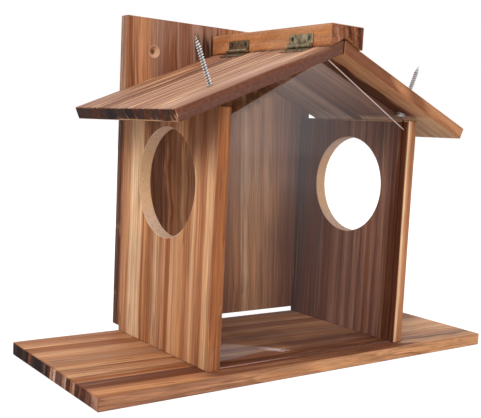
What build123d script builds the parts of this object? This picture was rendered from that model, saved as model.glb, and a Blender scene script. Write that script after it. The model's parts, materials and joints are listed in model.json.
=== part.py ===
from build123d import *
import math
import os

# Gable-roofed wooden feeder. Millimetres. +X is the house's right seen from the front,
# +Y points to the back board and +Z is up. The origin is the centre of the base board's
# underside. The right roof half and the ridge cap lift together on two small butt hinges.

# ---- base board ----
BASE_LENGTH = 400.0
BASE_DEPTH = 160.0
BASE_THICKNESS = 10.8

# ---- side walls ----
HOUSE_WIDTH = 209.0            # over the outer faces of the two walls
WALL_THICKNESS = 11.0
WALL_HEIGHT = 199.0            # above the base board
WALL_SETBACK = 12.4            # wall's front edge behind the base's front edge
DOORWAY_RADIUS = 44.25
DOORWAY_TOP_WOOD = 16.9        # wood left above the doorway
DOORWAY_BACK_WOOD = 30.2       # wood left behind the doorway

# ---- back board ----
BACK_THICKNESS = 11.5
BACK_HEIGHT = 272.2
BACK_SWEEP_GAP = 4.0           # slot between the base board's top and the back board
MOUNT_HOLE_SPACING = 155.0
MOUNT_HOLE_RADIUS = 2.25
MOUNT_SINK_RADIUS = 5.0
MOUNT_HOLE_DROP = 28.5         # holes below the back board's top edge

# ---- roof ----
ROOF_PITCH = 22.5              # degrees
ROOF_THICKNESS = 10.0
ROOF_REACH = 150.5             # middle of the ridge to the eave's upper edge, level
ROOF_OVERHANG = 2.4            # roof's front edge in front of the base board
RIDGE_JOINT = 1.2              # gap between the two roof halves
LID_BACK_GAP = 0.5             # lifting pieces clear of the back board

# ---- ridge cap ----
CAP_WIDTH = 33.2
CAP_RISE = 10.8                # cap's top above the top of the ridge
CAP_NOTCH_RISE = 2.0           # notch's tip above the top of the ridge
CAP_FOOT = 1.6                 # width of the strip that bears on each roof slope
CAP_OVERHANG = 3.0             # cap's front end in front of the roof
CAP_LIFT_GAP = 0.3             # cap's left foot above the fixed roof half

# ---- clear window ----
WINDOW_THICKNESS = 2.0
WINDOW_SETBACK = 5.0           # window's face behind the walls' front edges
WINDOW_PITCH = 29.2            # degrees
WINDOW_TOP_GAP = 2.4           # window's peak below the underside of the ridge
GROOVE_DEPTH = 4.0
GROOVE_CLEARANCE = 0.25
GROOVE_END_GAP = 0.5

# ---- butt hinges ----
HINGE_LENGTH = 30.0
HINGE_LEAF_WIDTH = 9.6         # pin's centre to the leaf's free edge
HINGE_LEAF_THICKNESS = 1.0
HINGE_BARREL_RADIUS = 2.0
HINGE_BARREL_GAP = 0.3         # barrel clear of the wood beside it
HINGE_KNUCKLES = 3
HINGE_KNUCKLE_GAP = 0.2
HINGE_PIN_RADIUS = 0.9
HINGE_PIN_CLEARANCE = 0.05
HINGE_PIN_HEAD_RADIUS = 1.5
HINGE_PIN_HEAD = 0.5
HINGE_SCREW_SPACING = 20.7
HINGE_SCREW_OFFSET = 6.1       # screw holes from the pin's centre
HINGE_FRONT_INSET = 36.0       # front hinge's middle behind the cap's front end
HINGE_REAR_INSET = 42.7        # rear hinge's middle in front of the cap's back end

# ---- spike screws ----
SPIKE_LENGTH = 47.5            # under the head
SPIKE_RADIUS = 2.1             # over the thread
SPIKE_SHANK_RADIUS = 1.6       # plain shank inside the wood
SPIKE_SHANK_STAND = 0.5        # plain shank left showing above the roof
SPIKE_POINT = 6.0
SPIKE_HEAD_RADIUS = 4.5
SPIKE_HEAD = 4.0
SPIKE_CROWN_RADIUS = 3.2       # flat on the head's crown
SPIKE_RIM = 2.0                # straight rim of the head
SPIKE_SEAT_GAP = 0.3           # head's lowest rim above the wall's top
SPIKE_INSET = 4.5              # from the wall's outer face, at the roof's underside
SPIKE_FROM_FRONT = 30.0        # from the roof's front edge

# ---- wood screws ----
SCREW_RADIUS = 1.75
SCREW_HEAD_RADIUS = 3.5
SCREW_HEAD = 2.2
SCREW_POINT = 4.0
SCREW_LENGTH = 35.0
SCREW_BORE_GAP = 0.08
CAP_SCREW_LENGTH = 20.0
CAP_SCREW_INSET = 6.5          # from the middle of the ridge
CAP_SCREW_END = 32.0           # from each end of the cap
SMALL_SCREW_RADIUS = 1.0
SMALL_SCREW_HEAD_RADIUS = 2.1
SMALL_SCREW_LENGTH = 8.5
SMALL_SCREW_POINT = 2.0
BASE_SCREW_FRONT = 25.0        # behind the wall's front edge
BASE_SCREW_REAR = 30.0         # in front of the wall's back edge
BACK_SCREW_END = 25.0          # from each end of the wall's back edge
BACK_SCREW_ROWS = 3
ROOF_SCREW_OFFSETS = (35.0, 85.0)           # from the middle of the ridge

EDGE_EASE = 0.6                # small chamfer along the boards' edges
SAW_EASE = 0.5                 # small chamfer round the doorways

# ---- places that follow from the sizes ----
sin_pitch = math.sin(math.radians(ROOF_PITCH))
cos_pitch = math.cos(math.radians(ROOF_PITCH))
tan_pitch = math.tan(math.radians(ROOF_PITCH))

base_front = -BASE_DEPTH / 2
back_face = BASE_DEPTH / 2
wall_front = base_front + WALL_SETBACK
wall_outer = HOUSE_WIDTH / 2
wall_inner = wall_outer - WALL_THICKNESS
wall_middle = wall_outer - WALL_THICKNESS / 2
wall_top = BASE_THICKNESS + WALL_HEIGHT

spike_x = wall_outer - SPIKE_INSET
spike_seat = wall_top + SPIKE_SEAT_GAP + SPIKE_HEAD * cos_pitch + SPIKE_HEAD_RADIUS * sin_pitch
ridge_top = spike_seat + spike_x * tan_pitch + ROOF_THICKNESS / cos_pitch
roof_front = base_front - ROOF_OVERHANG
spike_y = roof_front + SPIKE_FROM_FRONT

cap_front = roof_front - CAP_OVERHANG
lid_back = back_face - LID_BACK_GAP
cap_side = CAP_WIDTH / 2

window_front = wall_front + WINDOW_SETBACK
window_side = wall_inner + GROOVE_DEPTH - GROOVE_END_GAP

hinge_stand = HINGE_BARREL_RADIUS + HINGE_BARREL_GAP
pin_x = -cap_side - hinge_stand
pin_z = ridge_top + pin_x * tan_pitch + hinge_stand / cos_pitch
hinge_places = {
    "front": cap_front + HINGE_FRONT_INSET,
    "rear": lid_back - HINGE_REAR_INSET,
}


def roof_top(x):
    """Height of the roof's upper surface at a distance x from the ridge."""
    return ridge_top - abs(x) * tan_pitch


def roof_underside(x):
    return roof_top(x) - ROOF_THICKNESS / cos_pitch


# ---- general helpers ----
def board(low, high):
    """A straight board between two corners, its edges slightly eased."""
    size = [top - bottom for bottom, top in zip(low, high)]
    middle = [(top + bottom) / 2 for bottom, top in zip(low, high)]
    blank = Pos(*middle) * Box(*size)
    return chamfer(blank.edges(), EDGE_EASE)


def prism(outline, front, back):
    """An outline of (x, z) points carried from the front to the back."""
    corners = [(x, front, z) for x, z in outline]
    face = make_face(Polyline(*corners, close=True))
    return extrude(face, amount=back - front, dir=(0, 1, 0))


def turned(profile):
    """A solid of revolution from (radius, height) points about Z."""
    corners = [(radius, 0, height) for radius, height in profile]
    face = make_face(Polyline(*corners, close=True))
    return revolve(face, axis=Axis.Z)


def flat_head_screw(radius, head_radius, head, length, point, gap=0.0):
    """A countersunk screw along +Z, its head's face at the origin. A gap makes its bore."""
    return turned([
        (0, -gap),
        (head_radius + gap, -gap),
        (head_radius + gap, 0),
        (radius + gap, head + gap),
        (radius + gap, length - point),
        (0, length + gap),
    ] if gap else [
        (0, 0),
        (head_radius, 0),
        (radius, head),
        (radius, length - point),
        (0, length),
    ])


def placed(solid, origin, direction):
    return Plane(origin=origin, z_dir=direction).location * solid


# ---- screws ----
def wood_screws(places, direction, length=SCREW_LENGTH, gap=0.0):
    screw = flat_head_screw(
        SCREW_RADIUS, SCREW_HEAD_RADIUS, SCREW_HEAD, length, SCREW_POINT, gap
    )
    return [placed(screw, place, direction) for place in places]


def wall_base_screws(side, gap=0.0):
    """Up through the base board into a wall's lower edge."""
    rows = (wall_front + BASE_SCREW_FRONT, back_face - BASE_SCREW_REAR)
    places = [(side * wall_middle, y, 0) for y in rows]
    return wood_screws(places, (0, 0, 1), gap=gap)


def wall_back_screws(side, gap=0.0):
    """Forward through the back board into a wall's back edge."""
    rear = back_face + BACK_THICKNESS
    step = (WALL_HEIGHT - 2 * BACK_SCREW_END) / (BACK_SCREW_ROWS - 1)
    lowest = BASE_THICKNESS + BACK_SCREW_END
    places = [(side * wall_middle, rear, lowest + row * step) for row in range(BACK_SCREW_ROWS)]
    return wood_screws(places, (0, -1, 0), gap=gap)


def roof_back_screws(gap=0.0):
    """Forward through the back board into the fixed roof half's end."""
    rear = back_face + BACK_THICKNESS
    places = [(-x, rear, (roof_top(x) + roof_underside(x)) / 2) for x in ROOF_SCREW_OFFSETS]
    return wood_screws(places, (0, -1, 0), gap=gap)


def ridge_cap_screws(gap=0.0):
    """Square to the lifting roof half, up through it into the cap."""
    rows = (cap_front + CAP_SCREW_END, lid_back - CAP_SCREW_END)
    places = [(CAP_SCREW_INSET, y, roof_underside(CAP_SCREW_INSET)) for y in rows]
    return wood_screws(places, (sin_pitch, 0, cos_pitch), CAP_SCREW_LENGTH, gap)


def spike_screw(side, gap=0.0):
    """A long pan-head screw driven up through a roof half, its point left standing."""
    seat = (side * spike_x, spike_y, roof_underside(spike_x))
    direction = (side * sin_pitch, 0, cos_pitch)
    if gap:
        bore = Cylinder(SPIKE_RADIUS + gap, SPIKE_LENGTH)
        return placed(Pos(0, 0, SPIKE_LENGTH / 2) * bore, seat, direction)
    shank = ROOF_THICKNESS + SPIKE_SHANK_STAND
    profile = [
        (0, -SPIKE_HEAD),
        (SPIKE_CROWN_RADIUS, -SPIKE_HEAD),
        (SPIKE_HEAD_RADIUS, -SPIKE_RIM),
        (SPIKE_HEAD_RADIUS, 0),
        (SPIKE_SHANK_RADIUS, 0),
        (SPIKE_SHANK_RADIUS, shank),
        (SPIKE_RADIUS, shank),
        (SPIKE_RADIUS, SPIKE_LENGTH - SPIKE_POINT),
        (0, SPIKE_LENGTH),
    ]
    return placed(turned(profile), seat, direction)


# ---- butt hinges ----
def cap_leaf_plane(y):
    return Plane(origin=(pin_x, y, pin_z), x_dir=(0, 0, 1), z_dir=(-1, 0, 0))


def roof_leaf_plane(y):
    return Plane(
        origin=(pin_x, y, pin_z),
        x_dir=(-cos_pitch, 0, -sin_pitch),
        z_dir=(-sin_pitch, 0, cos_pitch),
    )


def hinge_screws(plane, gap=0.0):
    """A leaf's two screws, in the leaf's own plane with the pin at its origin."""
    head = HINGE_LEAF_THICKNESS
    face = HINGE_LEAF_THICKNESS - hinge_stand
    screw = flat_head_screw(
        SMALL_SCREW_RADIUS, SMALL_SCREW_HEAD_RADIUS, head, SMALL_SCREW_LENGTH, SMALL_SCREW_POINT, gap
    )
    half = HINGE_SCREW_SPACING / 2
    return [
        plane.location * placed(screw, (HINGE_SCREW_OFFSET, y, face), (0, 0, -1))
        for y in (-half, half)
    ]


def hinge_leaf(plane, first_knuckle):
    """One leaf: a plate, every second knuckle from first_knuckle on, and their tabs."""
    near = HINGE_BARREL_RADIUS + HINGE_BARREL_GAP
    plate_middle = HINGE_LEAF_THICKNESS / 2 - hinge_stand
    width = HINGE_LEAF_WIDTH - near
    leaf = Pos(near + width / 2, 0, plate_middle) * Box(width, HINGE_LENGTH, HINGE_LEAF_THICKNESS)
    outer_corners = leaf.edges().filter_by(Axis.Z).group_by(Axis.X)[-1]
    leaf = fillet(outer_corners, HINGE_LEAF_THICKNESS)
    pitch = HINGE_LENGTH / HINGE_KNUCKLES
    length = pitch - HINGE_KNUCKLE_GAP
    barrel = Rot(90, 0, 0) * Cylinder(HINGE_BARREL_RADIUS, length)
    tab = Pos(near / 2, 0, plate_middle) * Box(near, length, HINGE_LEAF_THICKNESS)
    for number in range(first_knuckle, HINGE_KNUCKLES, 2):
        y = (number + 0.5) * pitch - HINGE_LENGTH / 2
        leaf += Pos(0, y, 0) * (barrel + tab)
    bore = Cylinder(HINGE_PIN_RADIUS + HINGE_PIN_CLEARANCE, HINGE_LENGTH)
    leaf -= Rot(90, 0, 0) * bore
    leaf = plane.location * leaf
    for cutter in hinge_screws(plane, SCREW_BORE_GAP):
        leaf -= cutter
    return leaf


def hinge_pin(y):
    """The pin, with a small turned head just past each end of the barrel."""
    half = HINGE_LENGTH / 2 + HINGE_KNUCKLE_GAP
    end = half + HINGE_PIN_HEAD
    pin = turned([
        (0, -end),
        (HINGE_PIN_RADIUS, -end),
        (HINGE_PIN_HEAD_RADIUS, -half - HINGE_PIN_HEAD / 2),
        (HINGE_PIN_HEAD_RADIUS, -half),
        (HINGE_PIN_RADIUS, -half),
        (HINGE_PIN_RADIUS, half),
        (HINGE_PIN_HEAD_RADIUS, half),
        (HINGE_PIN_HEAD_RADIUS, half + HINGE_PIN_HEAD / 2),
        (HINGE_PIN_RADIUS, end),
        (0, end),
    ])
    return placed(pin, (pin_x, y, pin_z), (0, 1, 0))


# ---- boards ----
def base_board():
    solid = board(
        (-BASE_LENGTH / 2, base_front, 0),
        (BASE_LENGTH / 2, back_face, BASE_THICKNESS),
    )
    for side in (-1, 1):
        for cutter in wall_base_screws(side, SCREW_BORE_GAP):
            solid -= cutter
    return solid


def side_wall(side):
    """A wall with its doorway, and the groove that holds the window's edge."""
    inner, outer = sorted((side * wall_inner, side * wall_outer))
    solid = board((inner, wall_front, BASE_THICKNESS), (outer, back_face, wall_top))
    doorway = Rot(0, 90, 0) * Cylinder(DOORWAY_RADIUS, 2 * WALL_THICKNESS)
    doorway_z = wall_top - DOORWAY_TOP_WOOD - DOORWAY_RADIUS
    doorway_y = back_face - DOORWAY_BACK_WOOD - DOORWAY_RADIUS
    solid -= Pos(side * wall_middle, doorway_y, doorway_z) * doorway
    rims = [edge for edge in solid.edges().filter_by(GeomType.CIRCLE) if edge.radius > DOORWAY_RADIUS / 2]
    solid = chamfer(rims, SAW_EASE)
    groove_width = WINDOW_THICKNESS + 2 * GROOVE_CLEARANCE
    groove = Box(2 * GROOVE_DEPTH, groove_width, 2 * WALL_HEIGHT)
    groove_y = window_front + WINDOW_THICKNESS / 2
    solid -= Pos(side * wall_inner, groove_y, wall_top) * groove
    for cutter in wall_base_screws(side, SCREW_BORE_GAP) + wall_back_screws(side, SCREW_BORE_GAP):
        solid -= cutter
    return solid


def back_board():
    bottom = BASE_THICKNESS + BACK_SWEEP_GAP
    top = bottom + BACK_HEIGHT
    rear = back_face + BACK_THICKNESS
    solid = board((-wall_outer, back_face, bottom), (wall_outer, rear, top))
    for side in (-1, 1):
        for cutter in wall_back_screws(side, SCREW_BORE_GAP):
            solid -= cutter
    for cutter in roof_back_screws(SCREW_BORE_GAP):
        solid -= cutter
    sink_depth = MOUNT_SINK_RADIUS - MOUNT_HOLE_RADIUS
    hanger = turned([
        (0, 0),
        (MOUNT_SINK_RADIUS, 0),
        (MOUNT_HOLE_RADIUS, sink_depth),
        (MOUNT_HOLE_RADIUS, BACK_THICKNESS),
        (0, BACK_THICKNESS),
    ])
    for side in (-1, 1):
        place = (side * MOUNT_HOLE_SPACING / 2, back_face, top - MOUNT_HOLE_DROP)
        solid -= placed(hanger, place, (0, 1, 0))
    return solid


def roof_half(side, back):
    """A roof half, cut plumb at the ridge and square at the eave."""
    ridge_x = RIDGE_JOINT / 2
    outline = [
        (ridge_x, roof_top(ridge_x)),
        (ROOF_REACH, roof_top(ROOF_REACH)),
        (ROOF_REACH - ROOF_THICKNESS * sin_pitch, roof_top(ROOF_REACH) - ROOF_THICKNESS * cos_pitch),
        (ridge_x, roof_underside(ridge_x)),
    ]
    solid = prism([(side * x, z) for x, z in outline], roof_front, back)
    solid = chamfer(solid.edges(), EDGE_EASE)
    return solid - spike_screw(side, SCREW_BORE_GAP)


def left_roof_panel():
    solid = roof_half(-1, back_face)
    cutters = roof_back_screws(SCREW_BORE_GAP)
    for y in hinge_places.values():
        cutters += hinge_screws(roof_leaf_plane(y), SCREW_BORE_GAP)
    for cutter in cutters:
        solid -= cutter
    return solid


def right_roof_panel():
    solid = roof_half(1, lid_back)
    for cutter in ridge_cap_screws(SCREW_BORE_GAP):
        solid -= cutter
    return solid


def ridge_cap():
    """A bar with a V notch that straddles the ridge and bears on the lifting half."""
    top = ridge_top + CAP_RISE
    foot = cap_side - CAP_FOOT
    outline = [
        (-cap_side, top),
        (-cap_side, roof_top(cap_side) + CAP_LIFT_GAP),
        (-foot, roof_top(foot) + CAP_LIFT_GAP),
        (0, ridge_top + CAP_NOTCH_RISE),
        (foot, roof_top(foot)),
        (cap_side, roof_top(cap_side)),
        (cap_side, top),
    ]
    solid = prism(outline, cap_front, lid_back)
    solid = chamfer(solid.edges().group_by(Axis.Z)[-1], EDGE_EASE)
    cutters = ridge_cap_screws(SCREW_BORE_GAP)
    for y in hinge_places.values():
        cutters += hinge_screws(cap_leaf_plane(y), SCREW_BORE_GAP)
    for cutter in cutters:
        solid -= cutter
    return solid


def window():
    """A five-sided clear sheet, held in the walls' grooves and standing on the base."""
    peak = roof_underside(0) - WINDOW_TOP_GAP
    shoulder = peak - window_side * math.tan(math.radians(WINDOW_PITCH))
    outline = [
        (-window_side, BASE_THICKNESS),
        (window_side, BASE_THICKNESS),
        (window_side, shoulder),
        (0, peak),
        (-window_side, shoulder),
    ]
    return prism(outline, window_front, window_front + WINDOW_THICKNESS)


def build():
    parts = {
        "base_board": base_board(),
        "left_wall": side_wall(-1),
        "right_wall": side_wall(1),
        "back_board": back_board(),
        "left_roof_panel": left_roof_panel(),
        "right_roof_panel": right_roof_panel(),
        "ridge_cap": ridge_cap(),
        "acrylic_window": window(),
        "left_spike_screw": spike_screw(-1),
        "right_spike_screw": spike_screw(1),
        "left_roof_back_screws": Compound(roof_back_screws()),
        "ridge_cap_screws": Compound(ridge_cap_screws()),
    }
    for name, side in (("left", -1), ("right", 1)):
        parts[name + "_wall_base_screws"] = Compound(wall_base_screws(side))
        parts[name + "_wall_back_screws"] = Compound(wall_back_screws(side))
    for name, y in hinge_places.items():
        parts[name + "_hinge_cap_leaf"] = hinge_leaf(cap_leaf_plane(y), 0)
        parts[name + "_hinge_roof_leaf"] = hinge_leaf(roof_leaf_plane(y), 1)
        parts[name + "_hinge_pin"] = hinge_pin(y)
        parts[name + "_hinge_cap_screws"] = Compound(hinge_screws(cap_leaf_plane(y)))
        parts[name + "_hinge_roof_screws"] = Compound(hinge_screws(roof_leaf_plane(y)))
    return parts


os.makedirs("parts", exist_ok=True)
for node, shape in build().items():
    export_step(shape, "parts/" + node + ".step")
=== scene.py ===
import json
import math
from collections import namedtuple

import bmesh
import bpy
import numpy as np
from mathutils import Matrix, Vector


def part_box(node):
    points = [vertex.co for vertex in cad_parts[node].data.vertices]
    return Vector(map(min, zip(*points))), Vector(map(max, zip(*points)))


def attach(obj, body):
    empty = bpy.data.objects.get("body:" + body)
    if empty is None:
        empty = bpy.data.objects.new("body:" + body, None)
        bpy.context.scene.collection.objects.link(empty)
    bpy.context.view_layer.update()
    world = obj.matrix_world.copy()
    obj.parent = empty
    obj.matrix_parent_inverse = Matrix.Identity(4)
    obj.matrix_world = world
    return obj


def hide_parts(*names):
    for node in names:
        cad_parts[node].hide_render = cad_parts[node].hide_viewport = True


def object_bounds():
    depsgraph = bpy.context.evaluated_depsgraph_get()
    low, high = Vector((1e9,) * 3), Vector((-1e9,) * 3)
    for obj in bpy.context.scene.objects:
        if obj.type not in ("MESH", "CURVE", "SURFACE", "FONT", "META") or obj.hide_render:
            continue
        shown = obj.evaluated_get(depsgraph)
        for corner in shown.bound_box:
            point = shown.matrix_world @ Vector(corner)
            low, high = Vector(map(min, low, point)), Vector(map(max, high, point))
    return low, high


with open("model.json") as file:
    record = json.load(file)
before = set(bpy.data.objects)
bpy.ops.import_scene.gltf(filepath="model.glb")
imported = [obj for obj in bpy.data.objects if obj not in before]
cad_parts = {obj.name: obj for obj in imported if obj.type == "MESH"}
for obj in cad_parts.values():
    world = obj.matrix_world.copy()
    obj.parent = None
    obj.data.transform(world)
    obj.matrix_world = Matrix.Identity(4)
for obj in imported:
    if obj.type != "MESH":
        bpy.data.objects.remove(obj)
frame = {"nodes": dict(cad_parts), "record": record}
cad_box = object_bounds()

# Looks of the gable-roofed feeder. Metres, in the CAD's frame: +X is the house's right seen
# from the front, +Y points to the back board, +Z is up. The boards' figures and the screws
# are in mm.

scene = bpy.context.scene
MM = 0.001
UP, RIGHT, REAR = (0, 0, 1), (1, 0, 0), (0, 1, 0)
nodes = frame["nodes"]
# The corners of each node's box, in mm.
low_corner = {name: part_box(name)[0] / MM for name in nodes}
high_corner = {name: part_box(name)[1] / MM for name in nodes}
mounts = {mount["name"]: mount for mount in frame["record"]["mounts"]}
openings = {opening["name"]: opening for opening in frame["record"]["physics"]["openings"]}


# ---------- colours
def srgb(red, green, blue):
    """A colour as it looks on screen, 0 to 255, turned into a shader's linear values."""
    return tuple(((c / 255 + 0.055) / 1.055) ** 2.4 for c in (red, green, blue)) + (1.0,)


BLACK = (0.0, 0.0, 0.0, 1.0)
WHITE = (1.0, 1.0, 1.0, 1.0)

# Wood, from the palest to where the flame burnt it nearly black.
CREAM = srgb(232, 190, 150)
PALE = srgb(214, 164, 122)
HONEY = srgb(202, 142, 94)
AMBER = srgb(188, 122, 72)
TAN = srgb(190, 134, 96)
BLUSH = srgb(194, 158, 140)
ROSE = srgb(180, 143, 123)
FAWN = srgb(168, 128, 104)
CLAY = srgb(170, 114, 78)
RUST = srgb(154, 94, 58)
BROWN = srgb(138, 86, 60)
MAUVE = srgb(146, 104, 86)
UMBER = srgb(112, 66, 46)
PLUM = srgb(102, 68, 58)
BARK = srgb(80, 44, 28)
CHAR = srgb(62, 42, 36)
# The darkest is also painted as the ridge cap's shadow on the back board.
SOOT_AND_SHADOW = srgb(42, 30, 28)


# ---------- node helpers
class Value:
    """A number that a node puts out. Formulas of values add the nodes that work them out."""

    def __init__(self, shader, socket):
        self.shader = shader
        self.socket = socket

    def __add__(self, other):
        return self.shader.math("ADD", self, other)

    def __sub__(self, other):
        return self.shader.math("SUBTRACT", self, other)

    def __rsub__(self, other):
        return self.shader.math("SUBTRACT", other, self)

    def __mul__(self, other):
        return self.shader.math("MULTIPLY", self, other)

    def __truediv__(self, other):
        return self.shader.math("DIVIDE", self, other)

    def __abs__(self):
        return self.shader.math("ABSOLUTE", self)


class Shader:
    """The nodes of a material or a world. Methods take and return what nodes put out, and take
    plain numbers, colours and vectors too."""

    def __init__(self, owner, output="ShaderNodeOutputMaterial"):
        owner.use_nodes = True
        self.owner = owner
        self.tree = owner.node_tree
        self.tree.nodes.clear()
        self.output = self.tree.nodes.new(output)

    def node(self, kind, inputs=None, **settings):
        made = self.tree.nodes.new(kind)
        for key, value in settings.items():
            setattr(made, key, value)
        for key, value in (inputs or {}).items():
            self.feed(made.inputs[key], value)
        return made

    def feed(self, socket, value):
        if isinstance(value, Value):
            value = value.socket
        if isinstance(value, bpy.types.NodeSocket):
            self.tree.links.new(value, socket)
        else:
            socket.default_value = value

    def value(self, kind, inputs=None, output=0, **settings):
        return Value(self, self.node(kind, inputs, **settings).outputs[output])

    def math(self, operation, first, second=0.0):
        return self.value("ShaderNodeMath", {0: first, 1: second}, operation=operation)

    def larger(self, first, second):
        return self.math("MAXIMUM", first, second)

    def vector(self, x, y, z):
        return self.node("ShaderNodeCombineXYZ", {0: x, 1: y, 2: z}).outputs[0]

    def vector_math(self, operation, first, second):
        return self.node("ShaderNodeVectorMath", {0: first, 1: second}, operation=operation).outputs[0]

    def dot(self, vector, direction):
        return self.value("ShaderNodeVectorMath", {0: vector, 1: direction}, "Value", operation="DOT_PRODUCT")

    def length(self, vector):
        return self.value("ShaderNodeVectorMath", {0: vector}, "Value", operation="LENGTH")

    def noise(self, vector, detail=2.0, roughness=0.5, scale=1.0):
        inputs = {"Vector": vector, "Scale": scale, "Detail": detail, "Roughness": roughness}
        return self.value("ShaderNodeTexNoise", inputs)

    def remap(self, value, low, high, new_low=0.0, new_high=1.0, steps="LINEAR"):
        """value from low..high to new_low..new_high, held at both ends."""
        inputs = {0: value, 1: low, 2: high, 3: new_low, 4: new_high}
        return self.value("ShaderNodeMapRange", inputs, clamp=True, interpolation_type=steps)

    def spread(self, noise, new_low, new_high):
        """The range that holds most of a noise's values, spread over new_low..new_high."""
        return self.remap(noise, 0.35, 0.65, new_low, new_high)

    def between(self, mask, outside, inside):
        """outside where a mask is 0, inside where it is 1."""
        return self.remap(mask, 0.0, 1.0, outside, inside)

    def window(self, value, low, high, soft):
        """1 from low to high, with a fade of twice soft at each end."""
        rise = self.remap(value, low - soft, low + soft)
        return rise * self.remap(value, high - soft, high + soft, 1.0, 0.0)

    def ramp(self, factor, stops, interpolation):
        """stops are (place from 0 to 1, colour)."""
        made = self.node("ShaderNodeValToRGB", {0: factor})
        ramp = made.color_ramp
        ramp.interpolation = interpolation
        while len(ramp.elements) < len(stops):
            ramp.elements.new(1.0)
        for element, (place, colour) in zip(ramp.elements, stops):
            element.position = place
            element.color = colour
        return made.outputs[0]

    def mix(self, factor, first, second, blend="MIX"):
        """A colour. The mix node has its colours in inputs 6 and 7 and in output 2."""
        inputs = {0: factor, 6: first, 7: second}
        return self.node("ShaderNodeMix", inputs, data_type="RGBA", blend_type=blend).outputs[2]

    def shade(self, colour, amount):
        """colour made lighter or darker by a grey amount round 1."""
        return self.mix(1.0, colour, self.vector(amount, amount, amount), blend="MULTIPLY")

    def bump(self, height, distance):
        inputs = {"Height": height, "Distance": distance, "Strength": 0.5}
        return self.node("ShaderNodeBump", inputs).outputs[0]

    def surface(self, kind, inputs):
        return self.node(kind, inputs).outputs[0]

    def mix_surfaces(self, factor, first, second):
        return self.surface("ShaderNodeMixShader", {0: factor, 1: first, 2: second})

    def add_surfaces(self, first, second):
        return self.surface("ShaderNodeAddShader", {0: first, 1: second})

    def ray(self, kind):
        """1 for a kind of ray: Camera, Glossy or Transmission."""
        return self.value("ShaderNodeLightPath", output=f"Is {kind} Ray")

    def seen_or_unseen(self, seen, unseen):
        """seen for the camera, mirrors and clear sheets, and unseen for the light on the object."""
        looks = self.larger(self.larger(self.ray("Camera"), self.ray("Glossy")), self.ray("Transmission"))
        return self.mix_surfaces(looks, unseen, seen)

    def finish(self, surface):
        self.tree.links.new(surface, self.output.inputs["Surface"])
        return self.owner


# ---------- wood
# Where a board lies: its grain and width as directions, then in mm where its width and its
# thickness start, how far its bands run over each, and the depth of the side seen most.
Board = namedtuple("Board", "grain across start depth_start width thickness shown_depth")

# Where the flame left the side seen most darker or lighter, and where painted shade, painted shadow and
# painted highlights lie on it: from and to in mm along the grain and across the board, and how many mm
# the ends of the area reach in and out with the grain.
Stain = namedtuple("Stain", "along across colour strength soft ragged", defaults=[70])

# A round cut about an axis, with its radius in mm, the colour of its top and bottom, where the
# saw met end grain, and that of its sides.
Cut = namedtuple("Cut", "centre axis radius end_grain side_grain")


class WoodShader(Shader):
    """A board's material, with places in mm: along the grain, side across the board, depth
    through it and below from the side seen most. ring is side, bent as the grain wanders."""

    def __init__(self, name, board, seed, wander, tilt, pivot):
        super().__init__(bpy.data.materials.new(name))
        self.board = board
        self.seed = seed
        grain, across = Vector(board.grain), Vector(board.across)
        through = grain.cross(across)
        if sum(through) < 0:
            through = -through
        source = self.node("ShaderNodeTexCoord")
        in_mm = {0: source.outputs["Object"], "Scale": 1 / MM}
        self.place = self.node("ShaderNodeVectorMath", in_mm, operation="SCALE").outputs[0]
        self.along = self.dot(self.place, grain)
        self.side = self.dot(self.place, across) - board.start
        self.depth = self.dot(self.place, through) - board.depth_start
        self.below = self.depth - board.shown_depth
        wandering = self.side + self.drift(0.006, 0.014, 1.6 * wander, shift=0.0)
        wandering += self.drift(0.03, 0.11, 0.5 * wander, shift=2.3)
        self.ring = wandering + (self.along - pivot) * tilt + self.below * 0.3
        self.end_mask, self.edge_mask, self.face_mask = [
            self.remap(abs(self.dot(source.outputs["Normal"], direction)), 0.8, 0.9)
            for direction in (grain, across, through)
        ]
        self.middle = self.streaks(0.007, 0.35, detail=2.0, shift=5.3)
        self.fine = self.streaks(0.012, 1.1, detail=2.0, shift=7.7)
        self.fibre = self.streaks(0.05, 2.4, detail=1.0, shift=11.3)
        self.blotch = self.streaks(0.012, 0.03, detail=3.0, shift=17.9)
        self.mottle = self.grains(0.5, 0.35, detail=3.0)
        self.pores = self.grains(0.9, 0.9, detail=2.0)
        # Growth rings: each fades from pale early wood to brown, and ends in a thin dark line.
        wide = self.streaks(0.005, 0.10, detail=2.0, shift=3.1)
        self.growth = self.math("FRACT", self.ring * 0.115 + wide * 2.4)
        self.late = self.remap(self.growth, 0.82, 0.97) * self.remap(self.middle, 0.38, 0.56)

    def drift(self, along_scale, side_scale, reach, shift):
        """Smooth wander, up to reach mm each way. shift sets each noise apart from the others."""
        place = self.vector(
            self.along * along_scale, self.side * side_scale, self.depth * side_scale + (self.seed + shift)
        )
        return (self.noise(place) - 0.5) * (2 * reach)

    def streaks(self, along_scale, ring_scale, detail, shift):
        """Noise drawn out along the grain, in streaks about 1 / ring_scale mm wide."""
        place = self.vector(
            self.along * along_scale,
            self.ring * ring_scale,
            self.depth * (ring_scale * 0.6) + (self.seed + shift),
        )
        return self.noise(place, detail=detail, roughness=0.6)

    def threads(self, ring_scale, level, reach, shift):
        """Thin wandering lines, where noise drawn out along the grain crosses a level."""
        gap = abs(self.streaks(0.003, ring_scale, 1.0, shift) - level)
        return self.remap(gap, 0.25 * reach, reach, 1.0, 0.0)

    def grains(self, across_scale, along_scale, detail):
        """Noise in grains about 1 / across_scale mm wide."""
        place = self.vector(self.side * across_scale, self.depth * across_scale, self.along * along_scale)
        return self.noise(place, detail=detail)

    def banded(self, place, bands, span, interpolation="LINEAR"):
        """Bands of (mm, colour) over a span in mm, read at a place in mm."""
        stops = [(start / span, colour) for start, colour in bands]
        return self.ramp(place / span, stops, interpolation)


def face_figure(shader, bands):
    """The bands across a board's two faces, which the streaks pull aside by a few mm."""
    return shader.banded(shader.ring + (shader.middle - 0.5) * 9.0, bands, shader.board.width)


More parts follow.
